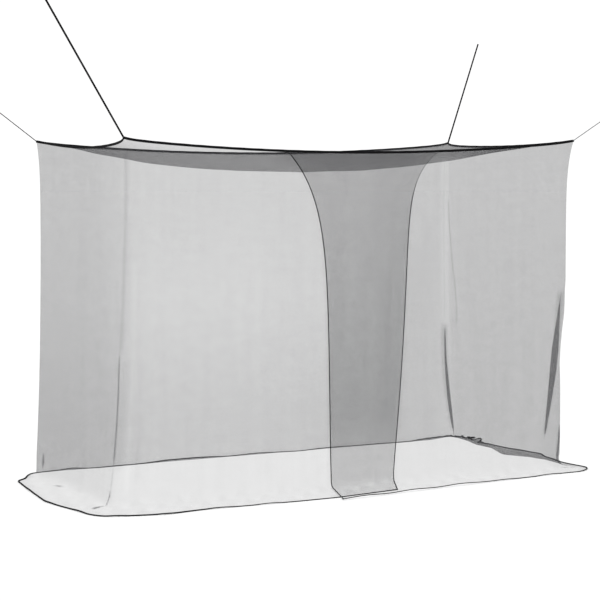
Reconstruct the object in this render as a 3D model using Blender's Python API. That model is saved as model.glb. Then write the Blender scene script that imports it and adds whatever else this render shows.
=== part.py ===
"""Box mosquito net hung by a cord at each roof corner, with a wrap-over entrance in its front.

x runs along the net, y from its front to its back and z up, in metres. The origin is the middle
of the four hung corners, at their height. The floor lies HANG below it.
"""

import math

import bpy
import numpy as np

# ---- Driving sizes ----
LENGTH = 2.20  # roof, between its corners
WIDTH = 1.00
HANG = 1.50  # from the hung corners down to the floor
NET = 0.0015  # thickness of the sheets
TAPE_TALL, TAPE_THICK = 0.011, 0.004  # binding tape round the roof seam
BELLY = 0.091  # how far the roof's middle hangs below its seam
FULL_LEFT, FULL_RIGHT = 4.0, 2.6  # how full the belly stays towards each end
THICK_CORD, THIN_CORD = 0.008, 0.004  # diameters
CORD_RUN = 0.89  # each cord, from its corner to its bare end
GAP = 0.0003  # between pieces that are sewn or tied together
SEAM_ALLOWANCE = 0.0006  # from the tape's inner face to the roof panel's edge

FLOOR = -HANG
ROUND = 2 * (LENGTH + WIDTH)  # the whole seam

# The four hung corners, clockwise from above: x, y, z
CORNERS = np.array(
    (
        (-1.085, -0.507, 0.000),  # front left
        (-1.095, 0.500, -0.005),  # back left
        (1.092, 0.505, 0.000),  # back right
        (1.125, -0.518, 0.000),  # front right
    )
)
# The seam's sides, each from its corner to the next: length, sag of its middle, drop just past
# its first and its last corner, how far it draws in past both, inward bow of its middle
SIDES = (
    (WIDTH, 0.028, 0.010, 0.000, 0.010, 0.030),  # left end
    (LENGTH, 0.046, 0.006, 0.008, 0.015, 0.012),  # back
    (WIDTH, 0.014, 0.012, 0.004, 0.020, 0.010),  # right end
    (LENGTH, 0.050, 0.006, 0.006, 0.015, 0.012),  # front
)
EAR_REACH = 0.045  # how far along the seam a corner's pull is felt

# The wall is one strip. Its stations are metres along the seam, clockwise from the front left
# corner: it starts at the inner front panel's free edge and ends at the outer panel's.
LEFT_END, RIGHT_END = WIDTH / 2, 1.5 * WIDTH + LENGTH
BACK_LEFT, BACK_RIGHT, FRONT_RIGHT = WIDTH, WIDTH + LENGTH, 2 * WIDTH + LENGTH
INNER_EDGE = -1.49
OUTER_EDGE = FRONT_RIGHT + 1.440

# Where the wall hangs once the corners' pull has died away: station, x, y
BODY = np.array(
    (
        (INNER_EDGE, 0.272, -0.497),
        (-0.75, -0.335, -0.494),
        (0.00, -1.077, -0.493),  # front left corner
        (LEFT_END, -1.056, 0.000),
        (BACK_LEFT, -1.094, 0.488),
        (BACK_LEFT + 1.1, 0.000, 0.476),
        (BACK_RIGHT, 1.075, 0.490),
        (RIGHT_END, 1.066, 0.000),
        (FRONT_RIGHT, 1.113, -0.502),
        (4.95, 0.375, -0.511),
        (OUTER_EDGE, -0.150, -0.513),
    )
)
# Where it meets the floor: station, x, y
FOOT = np.array(
    (
        (INNER_EDGE, 0.192, -0.496),
        (-0.75, -0.335, -0.503),
        (0.00, -1.156, -0.490),
        (LEFT_END, -1.122, 0.000),
        (BACK_LEFT, -1.150, 0.408),
        (1.18, -0.952, 0.388),
        (1.45, -0.660, 0.402),
        (2.10, -0.005, 0.416),
        (3.12, 0.950, 0.440),
        (BACK_RIGHT, 1.122, 0.505),
        (3.40, 1.082, 0.250),
        (3.78, 1.030, -0.100),
        (3.98, 1.092, -0.330),
        (FRONT_RIGHT, 1.074, -0.505),
        (4.225, 1.000, -0.520),  # the fold beside the front right corner
        (4.40, 0.880, -0.522),
        (OUTER_EDGE, -0.140, -0.524),
    )
)
# Where its hem lies: station, x, y
HEM = np.array(
    (
        (INNER_EDGE, 0.087, -0.717),
        (-1.00, -0.240, -0.769),
        (-0.72, -0.430, -0.773),
        (-0.33, -0.840, -0.762),
        (-0.16, -1.020, -0.790),
        (-0.06, -1.165, -0.757),
        (0.00, -1.264, -0.722),
        (0.05, -1.304, -0.662),
        (0.11, -1.317, -0.555),
        (0.20, -1.342, -0.425),
        (0.28, -1.360, -0.300),
        (0.60, -1.322, 0.035),
        (0.78, -1.292, 0.245),
        (0.88, -1.240, 0.295),
        (0.94, -1.205, 0.365),
        (BACK_LEFT, -1.165, 0.420),
        (1.12, -1.030, 0.445),
        (1.22, -0.950, 0.470),
        (1.31, -0.880, 0.432),
        (1.55, -0.600, 0.448),
        (1.66, -0.460, 0.486),
        (1.82, -0.310, 0.492),
        (1.97, -0.160, 0.462),
        (2.14, 0.010, 0.488),
        (2.32, 0.210, 0.452),
        (2.47, 0.360, 0.482),
        (2.98, 0.870, 0.478),
        (3.10, 0.985, 0.525),
        (BACK_RIGHT, 1.140, 0.552),
        (3.30, 1.215, 0.400),
        (3.42, 1.152, 0.270),
        (3.70, 1.180, -0.030),
        (3.84, 1.212, -0.165),
        (3.93, 1.175, -0.250),
        (4.00, 1.166, -0.328),
        (4.09, 1.146, -0.425),
        (4.15, 1.150, -0.510),
        (4.19, 1.164, -0.578),
        (4.215, 1.148, -0.640),
        (4.26, 1.078, -0.690),
        (4.40, 0.947, -0.694),
        (4.60, 0.775, -0.712),
        (4.90, 0.430, -0.746),
        (5.10, 0.250, -0.766),
        (OUTER_EDGE, -0.252, -0.830),
    )
)
BODY_SOFT, FOOT_SOFT, HEM_SOFT = 0.030, 0.012, 0.022  # how far each line rounds its bends
# How far down the pull of the corners and the free edges is felt: station, depth
PULL = np.array(
    (
        (INNER_EDGE, 0.100),
        (-0.90, 0.090),
        (0.85, 0.090),
        (BACK_LEFT, 0.110),
        (1.15, 0.090),
        (4.05, 0.090),
        (FRONT_RIGHT, 0.110),
        (4.35, 0.090),
        (5.00, 0.090),
        (5.40, 0.150),
        (OUTER_EDGE, 0.200),
    )
)
CORNER_ROOM, CORNER_SPAN = 0.0016, 0.012  # the wall's top hangs lower under the tape's corners
COLLAR = 0.004  # the wall's top, which hangs straight down out of the tape

# The two front panels overlap: each steps off the seam's middle line before the overlap begins
INNER_STEP, OUTER_STEP = 0.0015, 0.0015
INNER_STEP_FROM, INNER_STEP_TO = -0.55, -0.70
OUTER_STEP_FROM, OUTER_STEP_TO = 4.72, 4.87
LAP_RISE = 0.0045  # the outer panel's skirt lies on the inner one's
CALM_FROM, CALM_TO = -0.72, -0.88  # the inner panel's skirt lies flat under the outer one's

# Folds of three layers: middle station, span of cloth, station whose wall they lie along, top,
# widest and bottom height above the floor, width, and how far apart the layers lie
FOLDS = (
    (3.168, 0.044, 3.05, 0.60, 0.20, 0.05, 0.020, 0.009),  # back wall, by the back right corner
    (4.232, 0.050, 4.35, 0.84, 0.36, 0.06, 0.032, 0.010),  # front wall, by the front right one
)
LAYERS_MEET = 0.22  # a fold's layers are fully apart before it grows past this share of its width
FOLD_SIDE = 0.5  # how far beside a fold, in spans, the cloth comes back to the wall's line
WAVE, WAVE_PITCH, WAVE_SLANT = 0.004, 0.37, 0.6  # slow undulation of the hanging walls
WAVE_END = 0.9  # how far down it grows, as a share of the whole hang
RIPPLE, RIPPLE_PITCH, RIPPLE_SLANT = 0.0035, 0.23, -0.8  # how the skirt lifts towards its hem
RIPPLE_FROM = 0.45  # how far across the skirt it starts
FULL_RIPPLE = 0.15  # a skirt as wide as this has the whole ripple, a narrower one less

# ---- How finely the shapes are divided ----
EAR_STATIONS = (0.0, 0.014, 0.034, 0.066, 0.12)  # from each corner
MIDDLE_STEP = 0.105  # between stations past them
FOLD_STEPS = 10
COLLAR_LEVEL = COLLAR / (HANG - 0.05)
WALL_LEVELS = (
    *(0.0, COLLAR_LEVEL, 0.03, 0.07, 0.13, 0.21, 0.32, 0.45),
    *(0.55, 0.64, 0.72, 0.80, 0.85, 0.89, 0.93, 1.0),
)
BEND_RADIUS, BEND_STEPS = 0.035, 3  # from the wall to the skirt
MOST_BEND = 0.6  # of the skirt's width, where that is small
SKIRT_LEVELS = (0.25, 0.5, 0.75, 1.0)
CLOSEST = 0.002  # a fold's station nearer than this to another is left out
EDGE_CLEAR = 0.02  # no station but a free edge's own lies nearer to it
AIM_SOFT, AIM_STEP = 0.05, 0.02  # over which the wall's own direction is read
CORD_PITCH, MOST_CORD_POINTS = 2.8, 80  # cord points, in diameters apart, and at most
SOFT_SAMPLES = 9
NEVER_ZERO = 1e-9


def smooth(low, high, value):
    """0 below low, 1 above high and a soft step between them."""
    t = np.clip((value - low) / (high - low), 0.0, 1.0)
    return t * t * (3.0 - 2.0 * t)


# ---- Lines that the cloth follows ----
def seam(station):
    """The seam's point at this station: it sags, and draws in between its pulled-out corners."""
    at, side = station % ROUND, 0
    while at >= SIDES[side][0] and side < 3:
        at -= SIDES[side][0]
        side += 1
    length, sag, first_drop, last_drop, draw, bow = SIDES[side]
    start, end = CORNERS[side], CORNERS[(side + 1) % 4]
    t = at / length
    arch = 4.0 * t * (1.0 - t)
    freed = 1.0 - math.exp(-at / EAR_REACH) - math.exp((at - length) / EAR_REACH)
    along = (end - start) / np.linalg.norm(end - start)
    inward = np.array((along[1], -along[0], 0.0))
    point = start + t * (end - start) + (draw * freed + bow * arch) * inward
    point[2] -= ((1.0 - t) * first_drop + t * last_drop) * freed + sag * arch
    return point


def sewn_edge(station):
    """The seam as the tape runs it, straight from each of its stations to the next."""
    stations = [*seam_stations(), ROUND]
    points = np.array([seam(s) for s in stations])
    return np.array([np.interp(station % ROUND, stations, points[:, k]) for k in range(3)])


def from_corner(station):
    """Distance along the seam to the nearest corner."""
    corners = (0.0, BACK_LEFT, BACK_RIGHT, FRONT_RIGHT, ROUND)
    return min(abs(station % ROUND - corner) for corner in corners)


def soft_line(rows, station, reach):
    """A plan line through the rows' points, with its bends rounded over reach to each side."""
    at = station + np.linspace(-reach, reach, SOFT_SAMPLES)
    return np.array([np.interp(at, rows[:, 0], rows[:, k]).mean() for k in (1, 2)])


def outward(station):
    """The direction away from the inside of the net, level."""
    ahead, behind = (soft_line(BODY, station + d, AIM_SOFT) for d in (AIM_STEP, -AIM_STEP))
    along = (ahead - behind) / np.linalg.norm(ahead - behind)
    return np.array((-along[1], along[0]))


def turns(plan, slant, pitch):
    """Where a point of the plan lies in a regular run of waves, as an angle."""
    return 2 * math.pi * (plan[0] + slant * plan[1]) / pitch


def step(station):
    """How far the overlapping panels stand off the seam's middle line, outwards."""
    inner = INNER_STEP * smooth(-INNER_STEP_FROM, -INNER_STEP_TO, -station)
    return OUTER_STEP * smooth(OUTER_STEP_FROM, OUTER_STEP_TO, station) - inner


def fold_shift(station, height):
    """How far, in plan, a fold moves the cloth.

    Across the fold's span the cloth runs on, back and on again, each layer further out than the
    one before; beside it the cloth comes back to the wall's own line.
    """
    shift = np.zeros(2)
    for middle, span, along, top, widest, bottom, width, apart in FOLDS:
        q = (station - middle) / span + 0.5
        share = smooth(0.0, 1.0, np.interp(height, (bottom, widest, top), (0.0, 1.0, 0.0)))
        slide = 0.0
        if 0.0 < q < 1.0:
            slide = share * (width / 2 + span / 4) * math.sin(2 * math.pi * q)
        beside = smooth(-FOLD_SIDE, 0.0, q) * smooth(-1.0 - FOLD_SIDE, -1.0, -q)
        layer = float(np.clip(2 * q - 1, -1.0, 1.0))
        lift = apart * layer * min(1.0, share / LAYERS_MEET) * beside
        out = outward(along)
        shift += slide * np.array((out[1], -out[0])) + lift * out
    return shift


# ---- The wall, from the seam down, round the bend and out over the floor ----
def wall_column(station):
    """The strip's middle surface at one station: a list of points from its top to its hem."""
    out = outward(station)
    top = sewn_edge(station)
    top[:2] += step(station) * out
    top[2] -= TAPE_TALL / 2 + GAP + CORNER_ROOM * math.exp(-from_corner(station) / CORNER_SPAN)
    body = soft_line(BODY, station, BODY_SOFT)
    foot = soft_line(FOOT, station, FOOT_SOFT)
    hem = soft_line(HEM, station, HEM_SOFT)
    run = np.linalg.norm(hem - foot)
    away = (hem - foot) / run
    bend = min(BEND_RADIUS, MOST_BEND * run)
    ground = FLOOR + NET / 2 + LAP_RISE * smooth(OUTER_STEP_FROM, OUTER_STEP_TO, station)
    ripple = RIPPLE * min(1.0, run / FULL_RIPPLE) * (1.0 - smooth(-CALM_FROM, -CALM_TO, -station))
    points = []
    pull_depth = np.interp(station, PULL[:, 0], PULL[:, 1])
    for level in WALL_LEVELS:
        z = top[2] + level * (ground + bend - top[2])
        depth = top[2] - z
        fallen = max(0.0, depth - COLLAR) / (top[2] - ground)
        pulled = math.exp(-max(0.0, depth - COLLAR) / pull_depth)
        plan = body + (foot - body) * fallen**2 + (top[:2] - body) * pulled
        wave = WAVE * fallen * (1.0 - smooth(WAVE_END, 1.0, fallen))
        plan = plan + wave * math.sin(turns(plan, WAVE_SLANT, WAVE_PITCH)) * out
        points.append((*(plan + fold_shift(station, z - FLOOR)), z))
    low = np.array(points[-1][:2])
    for k in range(1, BEND_STEPS + 1):
        turn = math.pi / 2 * k / BEND_STEPS
        plan = low + away * bend * (1 - math.cos(turn))
        points.append((*plan, ground + bend * (1 - math.sin(turn))))
    start = np.array(points[-1][:2])
    for level in SKIRT_LEVELS:
        plan = start + level * (hem - start)
        crest = 0.5 + 0.5 * math.sin(turns(plan, RIPPLE_SLANT, RIPPLE_PITCH))
        points.append((*plan, ground + ripple * crest * smooth(RIPPLE_FROM, 1.0, level)))
    return points


def corner_stations(length):
    """Distances from a side's first corner, close together near both of its corners."""
    first = EAR_STATIONS[-1]
    count = round((length - 2 * first) / MIDDLE_STEP)
    middle = np.linspace(first, length - first, count + 1)[1:-1]
    return [*EAR_STATIONS, *middle, *(length - s for s in reversed(EAR_STATIONS[1:]))]


def seam_stations():
    """Stations once round the seam, each side's own list one after another."""
    stations, start = [], 0.0
    for length, *_ in SIDES:
        stations += [start + s for s in corner_stations(length)[:-1]]
        start += length
    return stations


def wall_stations():
    """The strip's stations: the seam's own, the two free edges and the folds' extra ones."""
    wanted = [s + turn for turn in (-ROUND, 0.0) for s in seam_stations()]
    wanted = [s for s in wanted if INNER_EDGE + EDGE_CLEAR < s < OUTER_EDGE - EDGE_CLEAR]
    wanted += [INNER_EDGE, OUTER_EDGE]
    for middle, span, *_ in FOLDS:
        low, high, side = middle - span / 2, middle + span / 2, FOLD_SIDE * span
        extra = [*np.linspace(low, high, FOLD_STEPS + 1), low - side, low - side / 2]
        extra += [high + side / 2, high + side]
        wanted += [s for s in extra if min(abs(s - w) for w in wanted) > CLOSEST]
    return sorted(wanted)


# ---- Making objects ----
def cloth_material(name, colour, roughness):
    material = bpy.data.materials.new(name)
    material.use_nodes = True
    shader = material.node_tree.nodes["Principled BSDF"]
    shader.inputs["Base Color"].default_value = (*colour, 1.0)
    shader.inputs["Roughness"].default_value = roughness
    shader.inputs["Metallic"].default_value = 0.0
    return material


def add_mesh(name, points, faces, material):
    mesh = bpy.data.meshes.new(name)
    mesh.from_pydata([tuple(p) for p in points], [], faces)
    mesh.materials.append(material)
    mesh.validate()
    mesh.shade_smooth()
    mesh.set_sharp_from_angle(angle=math.radians(50))
    piece = bpy.data.objects.new(name, mesh)
    bpy.context.scene.collection.objects.link(piece)
    return piece


def grid_faces(columns, rows):
    """Four-sided faces between neighbouring columns of points, each column rows long."""
    return [
        (c * rows + r, (c + 1) * rows + r, (c + 1) * rows + r + 1, c * rows + r + 1)
        for c in range(columns - 1)
        for r in range(rows - 1)
    ]


def add_sheet(name, columns, material):
    """A net sheet: its middle surface, thickened evenly to both sides."""
    rows = len(columns[0])
    points = [p for column in columns for p in column]
    piece = add_mesh(name, points, grid_faces(len(columns), rows), material)
    solid = piece.modifiers.new("thickness", "SOLIDIFY")
    solid.thickness = NET
    solid.offset = 0.0
    return piece


def inset(points, distance):
    """A closed plan line moved inwards by distance, mitred at its corners."""
    plan = points[:, :2]
    ahead = np.roll(plan, -1, axis=0) - plan
    ahead /= np.linalg.norm(ahead, axis=1)[:, None]
    inward = np.stack((ahead[:, 1], -ahead[:, 0]), axis=1)
    before = np.roll(inward, 1, axis=0)
    both = inward + before
    mitre = 2.0 * both / (both * both).sum(axis=1)[:, None]
    return np.column_stack((plan + distance * mitre, points[:, 2]))


# ---- Pieces ----
def make_wall(material):
    return add_sheet("wall_net", [wall_column(s) for s in wall_stations()], material)


def make_roof(material):
    """The roof panel: a patch between its four sewn edges, its middle hanging in a belly.

    Each point lies between the two ends and between the two long sides, and follows whichever
    pair it is nearer to.
    """
    edge = inset(np.array([seam(s) for s in seam_stations()]), TAPE_THICK / 2 + SEAM_ALLOWANCE)
    sides, start = [], 0
    for length, *_ in SIDES:
        count = len(corner_stations(length))
        sides.append(edge[(start + np.arange(count)) % len(edge)])
        start += count - 1
    left, back, right, front = sides[0], sides[1], sides[2][::-1], sides[3][::-1]
    columns = []
    for i, x in enumerate(corner_stations(LENGTH)):
        column = []
        for j, y in enumerate(corner_stations(WIDTH)):
            s, t = x / LENGTH, y / WIDTH
            from_end, from_front = min(x, LENGTH - x), min(y, WIDTH - y)
            ends, fronts = from_front**2 + NEVER_ZERO, from_end**2 + NEVER_ZERO
            point = fronts * ((1 - t) * front[i] + t * back[i]) + ends * ((1 - s) * left[j] + s * right[j])
            point /= fronts + ends
            point[2] -= BELLY * (1 - abs(2 * s - 1) ** (FULL_LEFT if s < 0.5 else FULL_RIGHT)) * (1 - (2 * t - 1) ** 2)
            column.append(point)
        columns.append(column)
    return add_sheet("roof_panel", columns, material)


def tape_rings():
    """The binding tape's section at each station: outer top, outer low, inner low, inner top."""
    middle = np.array([seam(s) for s in seam_stations()])
    outer, inner = inset(middle, -TAPE_THICK / 2), inset(middle, TAPE_THICK / 2)
    up = np.array((0.0, 0.0, TAPE_TALL / 2))
    return np.stack((outer + up, outer - up, inner - up, inner + up), axis=1)


def make_tape(material):
    rings = tape_rings()
    count, corners = rings.shape[:2]
    faces = []
    for k in range(count):
        here, there = corners * k, corners * ((k + 1) % count)
        for j in range(corners):
            beside = (j + 1) % corners
            faces.append((here + beside, here + j, there + j, there + beside))
    return add_mesh("roof_binding", rings.reshape(-1, 3), faces, material)


def cord_line(corner, heading, climb, diameter):
    """A taut cord's middle line: it leaves the tape's corner, outwards and up."""
    level, rise = math.cos(math.radians(climb)), math.sin(math.radians(climb))
    turn = math.radians(heading)
    along = np.array((level * math.cos(turn), level * math.sin(turn), rise))
    tip = CORNERS[corner]
    clear = max(float((p - tip) @ along) for ring in tape_rings() for p in ring) + GAP
    count = min(MOST_CORD_POINTS, round((CORD_RUN - clear) / (CORD_PITCH * diameter)) + 1)
    return [tip + along * d for d in np.linspace(clear, CORD_RUN, count)]


def make_cord(name, corner, heading, climb, diameter, material):
    curve = bpy.data.curves.new(name, "CURVE")
    curve.dimensions = "3D"
    curve.bevel_depth = diameter / 2
    curve.bevel_resolution = 2
    curve.use_fill_caps = True
    line = cord_line(corner, heading, climb, diameter)
    spline = curve.splines.new("POLY")
    spline.points.add(len(line) - 1)
    for point, place in zip(spline.points, line):
        point.co = (*place, 1.0)
    curve.materials.append(material)
    piece = bpy.data.objects.new(name, curve)
    bpy.context.scene.collection.objects.link(piece)
    return piece


def main():
    for old in list(bpy.data.objects):
        bpy.data.objects.remove(old, do_unlink=True)
    net = cloth_material("charcoal_net", (0.055, 0.055, 0.058), 0.85)
    tape = cloth_material("black_tape", (0.012, 0.012, 0.013), 0.75)
    black_cord = cloth_material("black_cord", (0.014, 0.014, 0.015), 0.70)
    grey_cord = cloth_material("grey_cord", (0.22, 0.22, 0.23), 0.70)
    make_wall(net)
    make_roof(net)
    make_tape(tape)
    # name, corner, heading in plan and climb in degrees, diameter
    make_cord("cord_front_left", 0, -135.0, 34.2, THICK_CORD, black_cord)
    make_cord("cord_back_left", 1, 135.0, 35.7, THIN_CORD, grey_cord)
    make_cord("cord_back_right", 2, 45.0, 37.3, THICK_CORD, black_cord)
    make_cord("cord_front_right", 3, -45.0, 34.8, THIN_CORD, grey_cord)


main()
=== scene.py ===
"""Box mosquito net hung by a cord at each roof corner, with a wrap-over entrance in its front.

The sheer sheets, their hems, the binding tape, the stitches and the cords. x runs along the net,
y from its front to its back and z up, in metres, from the middle of the four hung corners.
"""

import math

import bpy
import numpy as np
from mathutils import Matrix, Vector


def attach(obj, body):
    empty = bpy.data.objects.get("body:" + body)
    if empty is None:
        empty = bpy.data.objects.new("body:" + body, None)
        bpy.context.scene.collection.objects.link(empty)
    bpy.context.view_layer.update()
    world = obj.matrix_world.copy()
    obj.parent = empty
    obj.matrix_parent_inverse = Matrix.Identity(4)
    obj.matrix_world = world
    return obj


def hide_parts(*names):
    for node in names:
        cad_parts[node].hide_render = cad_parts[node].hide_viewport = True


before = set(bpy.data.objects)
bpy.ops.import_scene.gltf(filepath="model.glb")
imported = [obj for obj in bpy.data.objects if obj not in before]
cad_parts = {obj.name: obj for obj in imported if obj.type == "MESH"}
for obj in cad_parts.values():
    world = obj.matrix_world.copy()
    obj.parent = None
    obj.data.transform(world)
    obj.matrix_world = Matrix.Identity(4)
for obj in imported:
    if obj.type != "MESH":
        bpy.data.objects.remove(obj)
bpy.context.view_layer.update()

# ---- Sizes that the sewn net shares with its solids ----
LENGTH, WIDTH, HANG = 2.20, 1.00, 1.50
NET = 0.0015
TAPE_TALL, TAPE_THICK = 0.011, 0.004
BELLY = 0.091
FULL_LEFT, FULL_RIGHT = 4.0, 2.6  # how full the belly stays towards each end
THICK_CORD, THIN_CORD, CORD_RUN = 0.008, 0.004, 0.89
FLOOR = -HANG
ROUND = 2 * (LENGTH + WIDTH)
CORNERS = np.array(
    ((-1.085, -0.507, 0.0), (-1.095, 0.500, -0.005), (1.092, 0.505, 0.0), (1.125, -0.518, 0.0))
)
# The seam's sides: length, sag, drop past its first and last corner, draw-in, inward bow
SIDES = (
    (WIDTH, 0.028, 0.010, 0.000, 0.010, 0.030),
    (LENGTH, 0.046, 0.006, 0.008, 0.015, 0.012),
    (WIDTH, 0.014, 0.012, 0.004, 0.020, 0.010),
    (LENGTH, 0.050, 0.006, 0.006, 0.015, 0.012),
)
EAR_REACH = 0.045  # how far along the seam a corner's tip is felt
LEFT_END, RIGHT_END = WIDTH / 2, 1.5 * WIDTH + LENGTH
BACK_LEFT, BACK_RIGHT, FRONT_RIGHT = WIDTH, WIDTH + LENGTH, 2 * WIDTH + LENGTH
INNER_EDGE, OUTER_EDGE = -1.49, FRONT_RIGHT + 1.440

# Plan lines of the wall, as station along the seam, x, y
BODY = np.array(
    (
        (INNER_EDGE, 0.272, -0.497),
        (-0.75, -0.335, -0.494),
        (0.00, -1.077, -0.493),  # front left corner
        (LEFT_END, -1.056, 0.000),
        (BACK_LEFT, -1.094, 0.488),
        (BACK_LEFT + 1.1, 0.000, 0.476),
        (BACK_RIGHT, 1.075, 0.490),
        (RIGHT_END, 1.066, 0.000),
        (FRONT_RIGHT, 1.113, -0.502),
        (4.95, 0.375, -0.511),
        (OUTER_EDGE, -0.150, -0.513),
    )
)
FOOT = np.array(
    (
        (INNER_EDGE, 0.192, -0.496),
        (-0.75, -0.335, -0.503),
        (0.00, -1.156, -0.490),
        (LEFT_END, -1.122, 0.000),
        (BACK_LEFT, -1.150, 0.408),
        (1.18, -0.952, 0.388),
        (1.45, -0.660, 0.402),
        (2.10, -0.005, 0.416),
        (3.12, 0.950, 0.440),
        (BACK_RIGHT, 1.122, 0.505),
        (3.40, 1.082, 0.250),
        (3.78, 1.030, -0.100),
        (3.98, 1.092, -0.330),
        (FRONT_RIGHT, 1.074, -0.505),
        (4.225, 1.000, -0.520),  # the fold beside the front right corner
        (4.40, 0.880, -0.522),
        (OUTER_EDGE, -0.140, -0.524),
    )
)
HEM = np.array(
    (
        (INNER_EDGE, 0.087, -0.717),
        (-1.00, -0.240, -0.769),
        (-0.72, -0.430, -0.773),
        (-0.33, -0.840, -0.762),
        (-0.16, -1.020, -0.790),
        (-0.06, -1.165, -0.757),
        (0.00, -1.264, -0.722),
        (0.05, -1.304, -0.662),
        (0.11, -1.317, -0.555),
        (0.20, -1.342, -0.425),
        (0.28, -1.360, -0.300),
        (0.60, -1.322, 0.035),
        (0.78, -1.292, 0.245),
        (0.88, -1.240, 0.295),
        (0.94, -1.205, 0.365),
        (BACK_LEFT, -1.165, 0.420),
        (1.12, -1.030, 0.445),
        (1.22, -0.950, 0.470),
        (1.31, -0.880, 0.432),
        (1.55, -0.600, 0.448),
        (1.66, -0.460, 0.486),
        (1.82, -0.310, 0.492),
        (1.97, -0.160, 0.462),
        (2.14, 0.010, 0.488),
        (2.32, 0.210, 0.452),
        (2.47, 0.360, 0.482),
        (2.98, 0.870, 0.478),
        (3.10, 0.985, 0.525),
        (BACK_RIGHT, 1.140, 0.552),
        (3.30, 1.215, 0.400),
        (3.42, 1.152, 0.270),
        (3.70, 1.180, -0.030),
        (3.84, 1.212, -0.165),
        (3.93, 1.175, -0.250),
        (4.00, 1.166, -0.328),
        (4.09, 1.146, -0.425),
        (4.15, 1.150, -0.510),
        (4.19, 1.164, -0.578),
        (4.215, 1.148, -0.640),
        (4.26, 1.078, -0.690),
        (4.40, 0.947, -0.694),
        (4.60, 0.775, -0.712),
        (4.90, 0.430, -0.746),
        (5.10, 0.250, -0.766),
        (OUTER_EDGE, -0.252, -0.830),
    )
)
BODY_SOFT, FOOT_SOFT, HEM_SOFT = 0.030, 0.012, 0.022  # how far their bends are rounded
COLLAR = 0.004  # the wall's top, which hangs straight down out of the tape
# How far down the pull of the corners and the free edges is felt: station, depth
PULL = np.array(
    (
        (INNER_EDGE, 0.100),
        (-0.90, 0.090),
        (0.85, 0.090),
        (BACK_LEFT, 0.110),
        (1.15, 0.090),
        (4.05, 0.090),
        (FRONT_RIGHT, 0.110),
        (4.35, 0.090),
        (5.00, 0.090),
        (5.40, 0.150),
        (OUTER_EDGE, 0.200),
    )
)
# The two front panels overlap: each steps off the seam's middle line before the overlap begins
INNER_STEP, OUTER_STEP = 0.0015, 0.0015
INNER_STEP_FROM, INNER_STEP_TO = -0.55, -0.70
OUTER_STEP_FROM, OUTER_STEP_TO = 4.72, 4.87
LAP_RISE = 0.0045  # the outer panel's skirt lies on the inner one's
CALM_FROM, CALM_TO = -0.72, -0.88  # the inner panel's skirt lies flat under the outer one's
# Folds of three layers: span, station whose wall they lie along, layers apart, then from the top
# down height, middle station and how far the cloth swings to each side
FOLDS = (
    (
        0.044,
        3.08,
        0.009,
        (
            (0.620, 3.1850, 0.0000),
            (0.565, 3.1854, 0.0083),
            (0.504, 3.1845, 0.0128),
            (0.402, 3.1864, 0.0148),
            (0.299, 3.1921, 0.0178),
            (0.195, 3.2002, 0.0172),
            (0.091, 3.2143, 0.0108),
            (0.041, 3.2244, 0.0064),
            (0.005, 3.2260, 0.0000),
        ),
    ),
    (
        0.050,
        4.35,
        0.010,
        (
            (0.860, 4.2240, 0.0000),
            (0.797, 4.2258, 0.0080),
            (0.724, 4.2301, 0.0149),
            (0.632, 4.2328, 0.0201),
            (0.541, 4.2358, 0.0256),
            (0.449, 4.2399, 0.0244),
            (0.357, 4.2477, 0.0204),
            (0.265, 4.2557, 0.0155),
            (0.174, 4.2655, 0.0091),
            (0.110, 4.2700, 0.0000),
        ),
    ),
)
FOLD_SIDE = 0.5  # how far beside a fold, in spans, the cloth comes back to the wall's line
# Slow waves of the walls, then of the skirt towards its hem
WAVE, WAVE_PITCH, WAVE_SLANT, WAVE_END = 0.004, 0.37, 0.6, 0.9
RIPPLE, RIPPLE_PITCH, RIPPLE_SLANT, RIPPLE_FROM, FULL_RIPPLE = 0.0035, 0.23, -0.8, 0.45, 0.15
BEND_RADIUS, MOST_BEND = 0.035, 0.6  # from wall to skirt, and at most this share of the skirt
AIM_SOFT, AIM_STEP, SOFT_SAMPLES = 0.05, 0.02, 9

# ---- Finer sizes, for the cloth as it is seen ----
TUCK = 0.0035  # how far the wall runs up into the tape
STATION_STEP = 0.013
FOLD_STEP = 0.0013
PLAIN_CLEAR, CLOSEST = 0.0045, 0.0006  # an even station's distance from a finer one, and any two's
CORNER_STEPS = (0.0, 0.0015, 0.003, 0.006, 0.010, 0.016, 0.024, 0.034, 0.048, 0.066, 0.090)
HANG_DEPTHS = (0, 0.004, 0.012, 0.022, 0.034, 0.048, 0.064, 0.082, 0.102, 0.124, 0.148, 0.172)
HANG_STEP, LAST_DEPTH = 0.022, 1.475
BEND_STEPS, SKIRT_STEPS = 6, 18
SKIRT_HEM, SIDE_HEM = (0.0070, 0.0050), (0.0042, 0.0026)  # width, thickness
CRUMPLE_STEP = 0.005
ROOF_STEP = 0.016
ROOF_CORNER_STEPS = (0.0, 0.004, 0.009, 0.016, 0.025, 0.037, 0.052)
STITCH_PITCH, STITCH_LONG, STITCH_WIDE, STITCH_PROUD = 0.0042, 0.0028, 0.0006, 0.0005


# ---- The camera, where the photograph was taken from ----
SENSOR, LENS = 36.0, 113.1
CAMERA_PLACE = (-3.996, -7.618, -0.112)
LOOKS_DOWN, LOOKS_RIGHT = 4.086, 27.588  # degrees
NEAR_CLIP, FAR_CLIP = 0.1, 100.0


def add_camera():
    data = bpy.data.cameras.new("camera")
    data.sensor_width, data.lens = SENSOR, LENS
    data.clip_start, data.clip_end = NEAR_CLIP, FAR_CLIP
    camera = bpy.data.objects.new("camera", data)
    camera.location = CAMERA_PLACE
    camera.rotation_euler = (math.radians(90.0 - LOOKS_DOWN), 0.0, math.radians(-LOOKS_RIGHT))
    bpy.context.scene.collection.objects.link(camera)
    bpy.context.scene.camera = camera


add_camera()


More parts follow.
